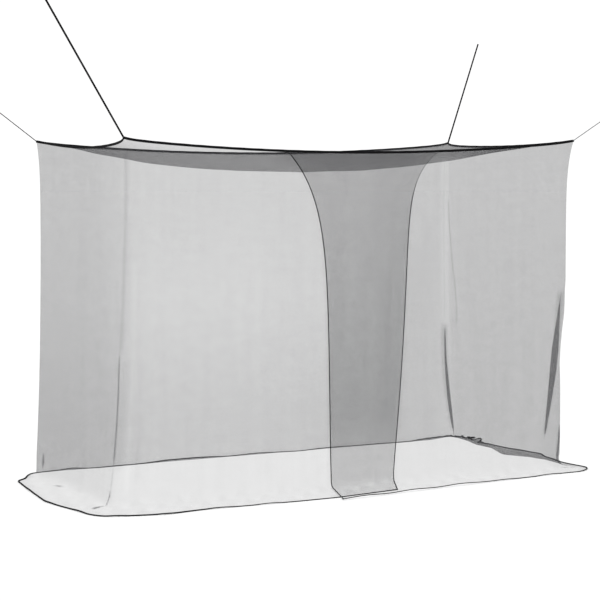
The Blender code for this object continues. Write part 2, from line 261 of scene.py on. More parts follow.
# ---- Lines that the cloth follows ----
def smooth(low, high, value):
    """0 below low, 1 above high and a soft step between them."""
    t = np.clip((value - low) / (high - low), 0.0, 1.0)
    return t * t * (3.0 - 2.0 * t)


def seam(station):
    """The seam's point at this station: it sags, and draws in between its pulled-out corners."""
    at, side = station % ROUND, 0
    while at >= SIDES[side][0] and side < 3:
        at -= SIDES[side][0]
        side += 1
    length, sag, first_drop, last_drop, draw, bow = SIDES[side]
    start, end = CORNERS[side], CORNERS[(side + 1) % 4]
    t = at / length
    arch = 4.0 * t * (1.0 - t)
    freed = 1.0 - math.exp(-at / EAR_REACH) - math.exp((at - length) / EAR_REACH)
    along = (end - start) / np.linalg.norm(end - start)
    inward = np.array((along[1], -along[0], 0.0))
    point = start + t * (end - start) + (draw * freed + bow * arch) * inward
    point[2] -= ((1.0 - t) * first_drop + t * last_drop) * freed + sag * arch
    return point


def soft_line(rows, station, reach):
    """A plan line through the rows' points, with its bends rounded over reach to each side."""
    at = station + np.linspace(-reach, reach, SOFT_SAMPLES)
    return np.array([np.interp(at, rows[:, 0], rows[:, k]).mean() for k in (1, 2)])


def outward(station):
    """The direction away from the inside of the net, level."""
    ahead, behind = (soft_line(BODY, station + d, AIM_SOFT) for d in (AIM_STEP, -AIM_STEP))
    along = (ahead - behind) / np.linalg.norm(ahead - behind)
    return np.array((-along[1], along[0]))


def turns(plan, slant, pitch):
    """Where points of the plan lie in a regular run of waves, as an angle."""
    return 2 * math.pi * (plan[..., 0] + slant * plan[..., 1]) / pitch


def panel_step(station):
    """How far the overlapping panels stand off the seam's middle line, outwards."""
    inner = INNER_STEP * smooth(-INNER_STEP_FROM, -INNER_STEP_TO, -station)
    return OUTER_STEP * smooth(OUTER_STEP_FROM, OUTER_STEP_TO, station) - inner


FOLD_WAYS = [outward(row[1]) for row in FOLDS]


def fold_at(row, height):
    """The fold's middle station at each height, and how far it swings the cloth there."""
    at, middle, swing = np.array(row[3])[::-1].T
    return np.interp(height, at, middle), np.interp(height, at, swing)


def fold_shift(station, height):
    """How far, in plan, the folds move the cloth at each height: on, back and on again."""
    shift = np.zeros((len(height), 2))
    for row, out in zip(FOLDS, FOLD_WAYS):
        span, _, apart, _ = row
        middle, swing = fold_at(row, height)
        q = (station - middle) / span + 0.5
        slide = swing * np.sin(2 * math.pi * np.clip(q, 0.0, 1.0))
        shift += slide[:, None] * np.array((out[1], -out[0]))
        beside = smooth(-FOLD_SIDE, 0.0, q) * smooth(-1.0 - FOLD_SIDE, -1.0, -q)
        lift = apart * np.clip(2 * q - 1, -1.0, 1.0) * beside
        shift += (lift * np.minimum(1.0, 2 * math.pi * swing / span))[:, None] * out
    return shift


# Faint creases that fan out of a hung corner: depth, how many, reach, and the span they start over
WALL_PULLS = (0.0022, 16.0, 0.22, (0.02, 0.09))
ROOF_PULLS = (0.0025, 14.0, 0.28, (0.02, 0.12))
# Soft vertical folds: depth, how high up they start, radians a metre of two runs of them, share of
# the second run, and how much both wander
LIMP_DEEP, LIMP_TOP, LIMP_RUNS, LIMP_SECOND, LIMP_WANDER = 0.00165, 0.55, (34.0, 57.0), 0.6, 0.6
LIMP_BELOW_TAPE, LIMP_ABOVE_FLOOR = (0.0, 0.05), (0.035, 0.09)


def corner_pulls(side, drop, pulls):
    """How far a hung corner's creases lift the cloth, at these distances from it."""
    deep, count, reach, start = pulls
    away, angle = np.hypot(side, drop), np.arctan2(side, drop)
    return deep * np.sin(count * angle) * np.exp(-away / reach) * smooth(*start, away)


def limp_waves(station, height):
    """Soft vertical folds, deepest near the floor, and faint pulls from the hung corners."""
    first, second = LIMP_RUNS
    wander = LIMP_WANDER * math.sin(station * 3.1 + 0.7)
    folds = math.sin(station * first + wander) + LIMP_SECOND * math.sin(station * second + 1.3 - wander)
    drop = np.maximum(HANG - height, 1e-4)
    pulls = sum(
        corner_pulls(abs(station - corner), drop, WALL_PULLS)
        for corner in (0.0, BACK_LEFT, BACK_RIGHT, FRONT_RIGHT)
    )
    return LIMP_DEEP * smooth(LIMP_TOP, 0.0, height) * folds + pulls


# Where the hem lies crumpled by the back right corner: reach in plan, lift, slant and pitch, and
# at each station how much of them is there
CRUMPLED = (0.030, 0.011, -1.0, 0.052)
CRUMPLED_AT = np.array(
    (
        (3.00, 0.0),
        (3.05, 0.2),
        (3.20, 0.3),
        (3.26, 0.6),
        (3.30, 1.0),
        (3.37, 1.0),
        (3.42, 0.5),
        (3.48, 0.0),
    )
)
# How far the bunched foot of the right end lies further in: station, distance
FOOT_FOLDS = np.array(
    (
        (3.33, 0.000),
        (3.45, 0.012),
        (3.58, -0.012),
        (3.70, 0.012),
        (3.79, 0.032),
        (3.85, 0.014),
        (3.90, -0.003),
        (3.95, 0.005),
        (4.02, 0.000),
    )
)
# How the front right corner's edge is drawn out and in by its fold: height, distance
EDGE_DRAW = np.array(
    (
        (0.00, 0.000),
        (0.06, 0.005),
        (0.20, 0.000),
        (0.36, -0.006),
        (0.42, -0.010),
        (0.48, -0.014),
        (0.54, -0.012),
        (0.59, -0.008),
        (0.64, -0.003),
        (0.70, 0.006),
        (0.78, 0.010),
        (0.90, 0.007),
        (1.10, 0.004),
        (1.30, 0.000),
    )
)
EDGE_STATION, EDGE_SPAN = 4.195, 0.030  # where, and how far to each side


def crumple(station, hem):
    """How far the hem is pushed out and lifted at this station, by waves of uneven width."""
    reach, lift, slant, pitch = CRUMPLED
    here = np.interp(station, *CRUMPLED_AT.T)
    turn = turns(hem, slant, pitch)
    push = math.sin(turn + 1.3 * math.sin(0.41 * turn)) - 0.5
    rise = 0.5 + 0.5 * math.sin(1.37 * turn + 0.8 + 1.1 * math.sin(0.29 * turn))
    return here * reach * push, here * lift * rise


def wall_column(station):
    """The strip's middle surface at one station, from inside the tape down to its hem."""
    out = outward(station)
    top = seam(station)
    top[:2] += panel_step(station) * out
    top[2] -= TAPE_TALL / 2
    body = soft_line(BODY, station, BODY_SOFT)
    foot = soft_line(FOOT, station, FOOT_SOFT)
    hem = soft_line(HEM, station, HEM_SOFT)
    foot = foot - np.interp(station, *FOOT_FOLDS.T) * out
    push, rise = crumple(station, hem)
    hem = hem + push * (hem - foot) / np.linalg.norm(hem - foot)
    run = np.linalg.norm(hem - foot)
    away = (hem - foot) / run
    bend = min(BEND_RADIUS, MOST_BEND * run)
    ground = FLOOR + NET / 2 + LAP_RISE * smooth(OUTER_STEP_FROM, OUTER_STEP_TO, station)
    ripple = RIPPLE * min(1.0, run / FULL_RIPPLE) * (1.0 - smooth(-CALM_FROM, -CALM_TO, -station))
    fall = top[2] - ground - bend
    lower = np.arange(HANG_DEPTHS[-1] + HANG_STEP, LAST_DEPTH, HANG_STEP)
    depth = np.array((*HANG_DEPTHS, *lower, HANG)) / HANG * fall
    fallen = np.maximum(0.0, depth - COLLAR)[:, None] / (top[2] - ground)
    pull_depth = np.interp(station, PULL[:, 0], PULL[:, 1])
    pulled = np.exp(-np.maximum(0.0, depth - COLLAR) / pull_depth)[:, None]
    plan = body + (foot - body) * fallen**2 + (top[:2] - body) * pulled
    height = top[2] - depth - FLOOR
    wave = WAVE * fallen[:, 0] * (1.0 - smooth(WAVE_END, 1.0, fallen[:, 0]))
    lift = wave * np.sin(turns(plan, WAVE_SLANT, WAVE_PITCH))
    limp = smooth(*LIMP_BELOW_TAPE, depth) * smooth(*LIMP_ABOVE_FLOOR, height)
    lift += limp * limp_waves(station, height)
    plan = plan + lift[:, None] * out + fold_shift(station, height)
    beside = (station - EDGE_STATION) / EDGE_SPAN
    plan[:, 0] += np.interp(height, *EDGE_DRAW.T) * math.exp(-beside * beside)
    hanging = np.column_stack((plan, height + FLOOR))
    hanging[0, 2] += TUCK
    turn = (math.pi / 2 * np.arange(1, BEND_STEPS + 1) / BEND_STEPS)[:, None]
    curve = hanging[-1, :2] + away * bend * (1 - np.cos(turn))
    bent = np.column_stack((curve, ground + bend * (1 - np.sin(turn))))
    across = np.linspace(0, 1, SKIRT_STEPS + 1)[1:]
    flat = bent[-1, :2] + across[:, None] * (hem - bent[-1, :2])
    crest = 0.5 + 0.5 * np.sin(turns(flat, RIPPLE_SLANT, RIPPLE_PITCH))
    lifted = (ripple * crest + rise) * smooth(RIPPLE_FROM, 1.0, across)
    skirt = np.column_stack((flat, ground + lifted))
    return np.vstack((hanging, bent, skirt))


def wall_stations():
    """Stations along the strip, closer by the corners and across the folds."""
    steps = round((OUTER_EDGE - INNER_EDGE) / STATION_STEP)
    wanted = list(np.linspace(INNER_EDGE, OUTER_EDGE, steps + 1))
    fine = []
    for corner in (0.0, BACK_LEFT, BACK_RIGHT, FRONT_RIGHT):
        fine += [corner + side * s for s in CORNER_STEPS for side in (-1, 1)]
    for row in FOLDS:
        middles = [middle for _, middle, _ in row[3]]
        low, high = min(middles) - row[0], max(middles) + row[0]
        fine += list(np.linspace(low, high, round((high - low) / FOLD_STEP) + 1))
    fine += list(np.arange(CRUMPLED_AT[0, 0], CRUMPLED_AT[-1, 0], CRUMPLE_STEP))
    fine = np.array(sorted(fine))
    wanted = [w for w in wanted if np.abs(fine - w).min() > PLAIN_CLEAR]
    both = np.sort(np.concatenate((wanted, fine)))
    return both[np.concatenate(([True], np.diff(both) > CLOSEST))]


# ---- Materials ----
def add_node(tree, kind, settings=None, **inputs):
    """A new node, with its inputs linked or set by their names, or by i and their number."""
    node = tree.nodes.new(kind)
    for name, value in (settings or {}).items():
        setattr(node, name, value)
    for name, value in inputs.items():
        socket = node.inputs[int(name[1:])] if name[0] == "i" and name[1:].isdigit() else None
        socket = socket or node.inputs[name.replace("_", " ")]
        if isinstance(value, bpy.types.NodeSocket):
            tree.links.new(value, socket)
        else:
            socket.default_value = value
    return node


def combine(tree, operation, first, second):
    return add_node(tree, "ShaderNodeMath", {"operation": operation}, i0=first, i1=second).outputs[0]


SHEEN_ROUGHNESS, CLOTH_GLOSS = 0.5, 0.03


def rgba(tone):
    """A colour from a tone, which is its grey and its slightly stronger blue."""
    grey, blue = tone
    return grey, grey, blue, 1.0


def cloth_material(name, tone, roughness, sheen):
    """A plain cloth shader, with the values that are the same all over set on its own sockets."""
    material = bpy.data.materials.new(name)
    material.use_nodes = True
    tree = material.node_tree
    shader = tree.nodes["Principled BSDF"]
    shader.inputs["Base Color"].default_value = rgba(tone)
    shader.inputs["Roughness"].default_value = roughness
    shader.inputs["Sheen Weight"].default_value = sheen
    shader.inputs["Sheen Roughness"].default_value = SHEEN_ROUGHNESS
    shader.inputs["Specular IOR Level"].default_value = CLOTH_GLOSS
    return material, tree, shader


def cloth_place(tree, across, along):
    """The piece's own map, in metres, scaled to a pattern's pitches."""
    uv = add_node(tree, "ShaderNodeUVMap", {"uv_map": "cloth"}).outputs[0]
    scale = (1.0 / across, 1.0 / along, 1.0)
    return add_node(tree, "ShaderNodeMapping", Vector=uv, Scale=scale).outputs[0]


def shaded(tree, shader, amount, dark, light):
    """Colours the shader from a dark tone to a light one by an amount."""
    tones = {"i6": rgba(dark), "i7": rgba(light)}
    shade = add_node(tree, "ShaderNodeMix", {"data_type": "RGBA"}, Factor=amount, **tones)
    tree.links.new(shade.outputs[2], shader.inputs["Base Color"])


def uneven(tree, across, along, detail, much):
    """A factor about 1 that wanders by this much, over these pitches."""
    place = cloth_place(tree, across, along)
    noise = add_node(tree, "ShaderNodeTexNoise", Vector=place, Scale=1.0, Detail=detail).outputs[0]
    return combine(tree, "ADD", combine(tree, "MULTIPLY", noise, much), 1.0 - much / 2)


CELL = 0.0030
NET_TONE = (0.050, 0.053)
YARN_DARK, YARN_LIGHT = (0.040, 0.043), (0.062, 0.066)
BETWEEN_YARN, ON_YARN = 0.745, 0.640  # how much of its density the net has there, and how much more
MOST_COVER = 0.97
# How uneven the net is, with painted sheen bands among it: pitch across and along, detail, how much
NET_UNEVEN_AND_SHEEN = (
    (0.012, 0.30, 2.0, 0.08),  # slubs in the yarn
    (0.085, 0.050, 3.0, 0.16),  # limp patches
    (0.045, 0.90, 2.0, 0.14),  # painted sheen, in streaks from top to bottom
    (0.40, 0.014, 2.0, 0.08),  # painted sheen, in streaks across
)


def net_material():
    """Fine knitted mesh: staggered cells of yarn, see-through by its density on each vertex."""
    material, tree, shader = cloth_material("sheer_knitted_net", NET_TONE, 0.90, 0.0)
    cells = add_node(
        tree,
        "ShaderNodeTexBrick",
        {"offset": 0.5, "offset_frequency": 2},
        Vector=cloth_place(tree, CELL, CELL),
        Color1=(0, 0, 0, 1),
        Color2=(0, 0, 0, 1),
        Mortar=(1, 1, 1, 1),
        Scale=1.0,
        Mortar_Size=0.085,
        Mortar_Smooth=0.4,
        Brick_Width=0.62,
        Row_Height=0.5,
    ).outputs["Color"]
    yarn = add_node(tree, "ShaderNodeRGBToBW", Color=cells).outputs[0]
    see = combine(tree, "ADD", combine(tree, "MULTIPLY", yarn, ON_YARN), BETWEEN_YARN)
    # the yarn's slubs and patches, and painted sheen bands, as changes in how see-through the net is
    for row in NET_UNEVEN_AND_SHEEN:
        see = combine(tree, "MULTIPLY", see, uneven(tree, *row))
    cover = add_node(tree, "ShaderNodeAttribute", {"attribute_name": "cover"}).outputs["Fac"]
    see = combine(tree, "MINIMUM", combine(tree, "MULTIPLY", see, cover), MOST_COVER)
    tree.links.new(see, shader.inputs["Alpha"])
    shaded(tree, shader, yarn, YARN_DARK, YARN_LIGHT)
    return material


BAND_SHEEN = 0.01
BLOTCHES = (0.030, 0.004)  # pitch across and along
RIBS_SHARE, BLOTCHES_SHARE = 0.6, 0.5


def band_material(name, dark, light, roughness, pitch, depth):
    """Close-woven cloth: fine slanting ribs, with slight unevenness."""
    material, tree, shader = cloth_material(name, dark, roughness, BAND_SHEEN)
    ribs = add_node(
        tree,
        "ShaderNodeTexWave",
        {"wave_type": "BANDS", "bands_direction": "DIAGONAL", "wave_profile": "SIN"},
        Vector=cloth_place(tree, pitch, pitch),
        Scale=0.5,
        Distortion=0.6,
        Detail=1.0,
    ).outputs["Fac"]
    blotches = add_node(
        tree, "ShaderNodeTexNoise", Vector=cloth_place(tree, *BLOTCHES), Scale=1.0, Detail=3.0
    ).outputs[0]
    ribs_tone = combine(tree, "MULTIPLY", ribs, RIBS_SHARE)
    blotch_tone = combine(tree, "MULTIPLY", blotches, BLOTCHES_SHARE)
    shaded(tree, shader, combine(tree, "ADD", ribs_tone, blotch_tone), dark, light)
    bump = add_node(tree, "ShaderNodeBump", Strength=0.5, Distance=depth, Height=ribs)
    tree.links.new(bump.outputs[0], shader.inputs["Normal"])
    return material


net = net_material()
# Name, dark and light tone, roughness, the ribs' pitch and their depth
hem_cloth = band_material("rolled_hem_net", (0.003, 0.003), (0.010, 0.011), 0.88, 0.0016, 0.0002)
tape_cloth = band_material("black_twill_tape", (0.002, 0.002), (0.008, 0.009), 0.80, 0.0012, 0.0002)
black_braid = band_material("black_braided_cord", (0.003, 0.003), (0.012, 0.013), 0.78, 0.0020, 0.0001)
grey_braid = band_material("grey_braided_cord", (0.100, 0.104), (0.220, 0.225), 0.75, 0.0012, 0.0001)
dark_braid = band_material("dark_grey_braided_cord", (0.004, 0.004), (0.016, 0.017), 0.75, 0.0012, 0.0001)
thread = band_material("black_thread", (0.003, 0.003), (0.012, 0.013), 0.70, 0.0008, 0.0001)


# ---- Making meshes ----
def grid_object(name, points, u, v, material, closed_across=False, caps=False):
    """A sheet or tube from a grid of points, with its map in metres."""
    columns, rows = points.shape[:2]
    index = np.arange(columns * rows).reshape(columns, rows)
    right, below = index[1:], np.roll(index, -1, axis=1)
    keep = slice(None) if closed_across else slice(None, -1)
    quads = np.stack(
        (index[:-1, keep], right[:, keep], below[1:, keep], below[:-1, keep]), axis=-1
    ).reshape(-1, 4)
    faces = [tuple(int(k) for k in q) for q in quads]
    if caps:
        faces.append(tuple(int(k) for k in index[0]))
        faces.append(tuple(int(k) for k in index[-1][::-1]))
    mesh = bpy.data.meshes.new(name)
    mesh.from_pydata([tuple(p) for p in points.reshape(-1, 3)], [], faces)
    layer = mesh.uv_layers.new(name="cloth")
    corner_uv = np.zeros((len(mesh.loops), 2))
    row_width = rows if closed_across else rows - 1
    c, r = np.divmod(np.arange(len(quads)), row_width)
    wide = np.concatenate((v, [2 * v[-1] - v[-2]])) if closed_across else v
    for k, (dc, dr) in enumerate(((0, 0), (1, 0), (1, 1), (0, 1))):
        corner_uv[4 * np.arange(len(quads)) + k, 0] = u[c + dc]
        corner_uv[4 * np.arange(len(quads)) + k, 1] = wide[r + dr]
    layer.data.foreach_set("uv", corner_uv.ravel())
    mesh.materials.append(material)
    mesh.shade_smooth()
    piece = bpy.data.objects.new(name, mesh)
    bpy.context.scene.collection.objects.link(piece)
    return piece


def set_density(piece, values):
    """How much of the light each vertex of a net holds back."""
    layer = piece.data.attributes.new("cover", "FLOAT", "POINT")
    layer.data.foreach_set("value", np.asarray(values, dtype=np.float32).ravel())


def travelled(points):
    """Distance along a line of points."""
    return np.concatenate(([0.0], np.cumsum(np.linalg.norm(np.diff(points, axis=0), axis=1))))


def rounded_section(count, above, below):
    """Points, from -1 to 1, round a section that is squarer the higher above and below are."""
    points = []
    for k in range(count):
        angle = 2 * math.pi * (k + 0.5) / count
        across, up = math.cos(angle), math.sin(angle)
        square = below if up < 0 else above
        size = (abs(across) ** square + abs(up) ** square) ** (-1 / square)
        points.append((across * size, up * size))
    return points


# ---- The cords, taut from the roof's corners to where they are held ----
# The braid: diameters that a strand takes for one turn, how proud it stands, and how much of the
# cord's end is rounded, down to what share of its width squared
BRAID_TURN, BRAID_PROUD, END_ROUND, END_SHARE = 3.4, 0.045, 0.35, 0.02


def cord_way(heading, climb):
    """The direction of a cord, from its angle in plan and its slope."""
    turn, rise = math.radians(heading), math.radians(climb)
    return np.array((math.cos(rise) * math.cos(turn), math.cos(rise) * math.sin(turn), math.sin(rise)))


def make_cord(node, corner, heading, climb, diameter, material, strands, sides, ring_step):
    """A braided cord: strands that cross in two directions stand out of a round core."""
    start, along = CORNERS[corner], cord_way(heading, climb)
    side = np.cross(along, (0, 0, 1))
    side /= np.linalg.norm(side)
    other = np.cross(side, along)
    at = np.arange(0.0, CORD_RUN + 1e-9, ring_step)
    at = at * CORD_RUN / at[-1]
    angle = 2 * math.pi * np.arange(sides) / sides
    lay = 4 * math.pi * at[:, None] / (BRAID_TURN * diameter)
    relief = np.maximum(np.cos(strands * angle + lay), np.cos(strands * angle - lay))
    radius = diameter / 2 * (1.0 - BRAID_PROUD + BRAID_PROUD * relief)
    ends = np.minimum(at, CORD_RUN - at)[:, None]
    radius = radius * np.sqrt(np.clip(ends / (END_ROUND * diameter), END_SHARE, 1.0))
    ring = np.cos(angle)[None, :, None] * side + np.sin(angle)[None, :, None] * other
    points = start + at[:, None, None] * along + radius[..., None] * ring
    piece = grid_object(
        f"{node}_braid", points, at, angle * diameter / 2, material, closed_across=True, caps=True
    )
    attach(piece, "root")
    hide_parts(node)


# Node, corner, heading, climb, diameter, material, strands, points round it and steps along it
make_cord("cord_front_left", 0, -135.0, 34.2, THICK_CORD, black_braid, 8, 32, 0.0015)
make_cord("cord_back_left", 1, 135.0, 35.7, THIN_CORD, dark_braid, 6, 20, 0.0010)
make_cord("cord_back_right", 2, 45.0, 37.3, THICK_CORD, black_braid, 8, 32, 0.0015)
make_cord("cord_front_right", 3, -45.0, 34.8, THIN_CORD, grey_braid, 6, 20, 0.0010)


# ---- The wall ----
stations = wall_stations()
wall = np.array([wall_column(s) for s in stations])
HANGING_ROWS = wall.shape[1] - BEND_STEPS - SKIRT_STEPS

# How much of the light one layer holds back, from how full the net hangs there: station, then
# near the top, half-way down, near the floor and on the floor
LEVELS = (0.25, 0.80, 1.25)  # heights of the first three, from the lowest
NET_DENSITY = np.array(
    (
        (INNER_EDGE, 0.247, 0.222, 0.266, 0.262),
        (-0.14, 0.247, 0.222, 0.266, 0.262),
        (-0.03, 0.250, 0.250, 0.275, 0.262),
        (0.01, 0.285, 0.300, 0.340, 0.262),
        (0.50, 0.332, 0.327, 0.352, 0.262),
        (0.95, 0.332, 0.327, 0.358, 0.262),
        (1.03, 0.270, 0.310, 0.370, 0.450),
        (1.30, 0.265, 0.300, 0.360, 0.450),
        (1.50, 0.235, 0.225, 0.290, 0.450),
        (2.10, 0.230, 0.220, 0.285, 0.450),
        (2.30, 0.240, 0.250, 0.300, 0.450),
        (2.70, 0.240, 0.250, 0.300, 0.450),
        (2.85, 0.290, 0.325, 0.330, 0.450),
        (3.05, 0.290, 0.325, 0.330, 0.500),
        (3.14, 0.285, 0.310, 0.325, 0.560),
        (3.165, 0.270, 0.280, 0.310, 0.580),
        (3.178, 0.245, 0.240, 0.290, 0.600),
        (3.212, 0.250, 0.245, 0.295, 0.600),
        (3.232, 0.300, 0.310, 0.340, 0.610),
        (3.25, 0.303, 0.325, 0.358, 0.595),
        (3.60, 0.310, 0.334, 0.364, 0.565),
        (4.12, 0.310, 0.334, 0.364, 0.555),
        (4.17, 0.310, 0.334, 0.364, 0.530),
        (4.205, 0.300, 0.320, 0.340, 0.300),
        (4.25, 0.285, 0.285, 0.290, 0.270),
        (OUTER_EDGE, 0.285, 0.285, 0.290, 0.270),
    )
)
LAP_DENSITY = (0.305, 0.332, 0.362, 0.268)  # the same four, where the front panels overlap
LAP_EASE, LAP_EASE_FROM, LAP_EASE_TO = 0.050, 0.34, 0.12  # how much less, close above the floor
LAP_SOFT = 0.008  # how far to each side of the other panel's edge it changes
INNER_LAP, OUTER_LAP = -0.5, 4.6  # stations past which the front panels may overlap
FOLD_DENSITY = 0.46  # where a leaning fold lies open
FOLD_EDGE = (-0.67, -0.33)  # where a fold begins, in spans from its middle, as a minus
FOLD_OPENS = (0.6, 1.2)  # 2 pi times swing over span, between which its layers come to overlap
# Creases and soft folds: width, how much denser, then height and station along them. Below the
# floor's height stands the distance out over the floor.
CREASES = (
    # The front left corner: its soft edge, its crease and the folds beside it
    (0.013, 0.090, ((1.45, -0.006), (1.04, -0.003), (0.64, -0.003))),
    (
        0.0038,
        0.420,
        ((0.615, 0.005), (0.600, 0.004), (0.454, -0.003), (0.321, -0.006), (0.185, -0.006)),
    ),
    (0.0034, 0.130, ((0.160, -0.006), (0.117, -0.005), (0.075, -0.003))),
    (
        0.0042,
        0.450,
        (
            (0.060, -0.001),
            (0.036, 0.002),
            (0.009, 0.021),
            (-0.013, 0.039),
            (-0.058, 0.059),
            (-0.090, 0.069),
        ),
    ),
    (0.0075, 0.420, ((-0.035, 0.048), (-0.060, 0.060), (-0.105, 0.071))),
    (0.018, 0.045, ((0.60, -0.026), (0.45, -0.030), (0.15, -0.030))),
    (0.012, -0.030, ((1.00, -0.052), (0.51, -0.058), (0.25, -0.066), (0.05, -0.066))),
    (0.012, 0.025, ((0.60, -0.096), (0.42, -0.102), (0.10, -0.108))),
    # The left end, close to the back: a tuck, and a smudge on the floor
    (0.0110, 0.720, ((0.100, 0.903), (0.055, 0.899))),
    (0.030, 0.400, ((0.004, 0.568), (-0.016, 0.565))),
    (0.090, 0.060, ((0.003, 0.930), (-0.030, 0.940))),
    # The back right corner
    (0.0030, 0.060, ((1.42, 3.184), (0.62, 3.184))),
    (
        0.0060,
        0.110,
        ((1.215, 3.216), (1.061, 3.232), (0.910, 3.251), (0.811, 3.273), (0.713, 3.286), (0.611, 3.292)),
    ),
    # The front right corner, close above the floor and over it
    (0.0090, 0.700, ((0.185, 4.186), (0.090, 4.175), (0.036, 4.170), (0.010, 4.172))),
    (0.0050, 0.300, ((0.000, 4.216), (-0.031, 4.218), (-0.040, 4.207))),
)
CREASE_END = 0.025  # height over which a crease fades at its ends
# Painted light and shade of the skirt's wrinkles, as waves in its density: how much, then slant and pitch
# of each of its two runs of waves
SKIRT_WRINKLE_SHADE = (0.014, (0.7, 0.160), (-1.6, 0.235))


def wall_level():
    """Height above the floor, and past the foot the distance out over the floor, as a minus."""
    level = wall[..., 2] - FLOOR
    foot = HANGING_ROWS + BEND_STEPS - 1
    out = np.linalg.norm(wall[:, foot:, :2] - wall[:, foot : foot + 1, :2], axis=2)
    level[:, foot:] = -out
    return level


def by_level(level, values):
    """Values for near the top, half-way down and near the floor, at each height."""
    high, middle, low = values
    share = np.interp(level, LEVELS, (0.0, 1.0, 2.0))
    return np.where(share < 1.0, low + (middle - low) * share, middle + (high - middle) * (share - 1.0))


def wall_density():
    level = wall_level()
    rows = wall.shape[1]
    parts = [np.interp(stations, NET_DENSITY[:, 0], NET_DENSITY[:, k])[:, None] for k in (1, 2, 3, 4)]
    skirt = smooth(HANGING_ROWS - 1, HANGING_ROWS + BEND_STEPS, np.arange(rows))[None, :]
    density = by_level(level, parts[:3])
    density += (parts[3] - density) * skirt
    doubled = by_level(level, LAP_DENSITY[:3]) - LAP_EASE * smooth(LAP_EASE_FROM, LAP_EASE_TO, level)
    doubled += (LAP_DENSITY[3] - doubled) * skirt
    edges = {-1: wall[0], 1: wall[-1]}  # each panel is denser where the other one covers it
    for k, station in enumerate(stations):
        if station < INNER_LAP or station > OUTER_LAP:
            other = edges[1 if station < 0 else -1]
            line = np.interp(-wall[k, :, 2], -other[:, 2], other[:, 0])
            beyond = (wall[k, :, 0] - line) * (1 if station < 0 else -1)
            density[k] += (doubled[k] - density[k]) * smooth(-LAP_SOFT, LAP_SOFT, beyond)
    for row in FOLDS:
        middle, swing = fold_at(row, np.maximum(level, 0.0))
        off = np.abs(stations[:, None] - middle) / row[0]
        opened = smooth(*FOLD_OPENS, 2 * math.pi * swing / row[0])
        density += (FOLD_DENSITY - density) * smooth(*FOLD_EDGE, -off) * opened
    # painted light and shade of the skirt's wrinkles, on the skirt only
    much, first, second = SKIRT_WRINKLE_SHADE
    plan = wall[..., :2]
    waves = np.sin(turns(plan, *first) + 1.7 * np.sin(turns(plan, *second)))
    density += much * (waves + np.sin(turns(plan, *second) + 2.1 * waves)) * skirt
    for width, more, line in CREASES:
        at, station = np.array(line)[::-1].T
        off = (stations[:, None] - np.interp(level, at, station)) / width
        ends = smooth(at[0] - CREASE_END, at[0], level) * smooth(-at[-1], CREASE_END - at[-1], -level)
        density += more * np.exp(-off * off) * ends
    return density


down = np.mean([travelled(column) for column in wall[:: len(wall) // 24]], axis=0)
drape = grid_object("wall_drape", wall, stations, down, net)
set_density(drape, wall_density())


# ---- The roof panel ----
def closed_inset(points, distance):
    """A closed plan line moved inwards by distance, mitred at its corners."""
    plan = points[:, :2]
    ahead = np.roll(plan, -1, axis=0) - plan
    ahead /= np.linalg.norm(ahead, axis=1)[:, None]
    inward = np.stack((ahead[:, 1], -ahead[:, 0]), axis=1)
    both = inward + np.roll(inward, 1, axis=0)
    mitre = 2.0 * both / (both * both).sum(axis=1)[:, None]
    return np.column_stack((plan + distance * mitre, points[:, 2]))


def side_steps(length):
    """Distances along a side, closer by its two corners."""
    ear = np.array(ROOF_CORNER_STEPS)
    count = round((length - 2 * ear[-1]) / ROOF_STEP)
    middle = np.linspace(ear[-1], length - ear[-1], count + 1)[1:-1]
    return np.concatenate((ear, middle, length - ear[::-1]))


def seam_ring():
    """The seam's points once round, and where each of its sides starts among them."""
    stations_round, starts, start = [], [], 0.0
    for length, *_ in SIDES:
        starts.append(len(stations_round))
        stations_round += [start + s for s in side_steps(length)[:-1]]
        start += length
    return np.array(stations_round), starts


# How full the roof hangs, from its front seam to its back one, and there along the net
ROOF_FRONT = 0.19
ROOF_BACK = np.array(((0.0, 0.93), (0.2, 0.80), (0.5, 0.82), (0.66, 1.12), (0.8, 1.15), (1.0, 1.05)))
ROOF_RIGHT = (0.72, 0.95)  # shares of the length over which the front gets as full as the back
SLACK, SLACK_FROM = 0.0015, 0.08  # height of its slack waves, and how far from the seam they are full
ROOF_TUCK = TAPE_THICK / 2 - 0.0013  # how far in from the seam's middle the roof's edge lies


def make_roof():
    ring, starts = seam_ring()
    edge = closed_inset(np.array([seam(s) for s in ring]), ROOF_TUCK)
    sides = []
    for side, (length, *_) in enumerate(SIDES):
        count = len(side_steps(length))
        sides.append(edge[(starts[side] + np.arange(count)) % len(edge)])
    left, back, right, front = sides[0], sides[1], sides[2][::-1], sides[3][::-1]
    x, y = side_steps(LENGTH), side_steps(WIDTH)
    s, t = np.meshgrid(x / LENGTH, y / WIDTH, indexing="ij")
    from_end = np.minimum(x, LENGTH - x)[:, None] + 0 * t
    from_front = np.minimum(y, WIDTH - y)[None, :] + 0 * s
    ends, fronts = from_front**2 + 1e-9, from_end**2 + 1e-9
    s3, t3 = s[..., None], t[..., None]
    lengthwise = (1 - t3) * front[:, None] + t3 * back[:, None]
    crosswise = (1 - s3) * left[None] + s3 * right[None]
    points = (fronts[..., None] * lengthwise + ends[..., None] * crosswise) / (fronts + ends)[..., None]
    full = np.where(s < 0.5, FULL_LEFT, FULL_RIGHT)
    points[..., 2] -= BELLY * (1 - np.abs(2 * s - 1) ** full) * (1 - (2 * t - 1) ** 2)
    points[..., 2] += roof_pulls(x[:, None] + 0 * t, y[None, :] + 0 * s)
    roof = grid_object("roof_drape", points[:, ::-1], x, y[::-1], net)
    toward_back = np.maximum(t, smooth(*ROOF_RIGHT, s))
    fullness = ROOF_FRONT + (np.interp(s, *ROOF_BACK.T) - ROOF_FRONT) * toward_back
    set_density(roof, (1.0 - np.exp(-fullness))[:, ::-1])
    return roof


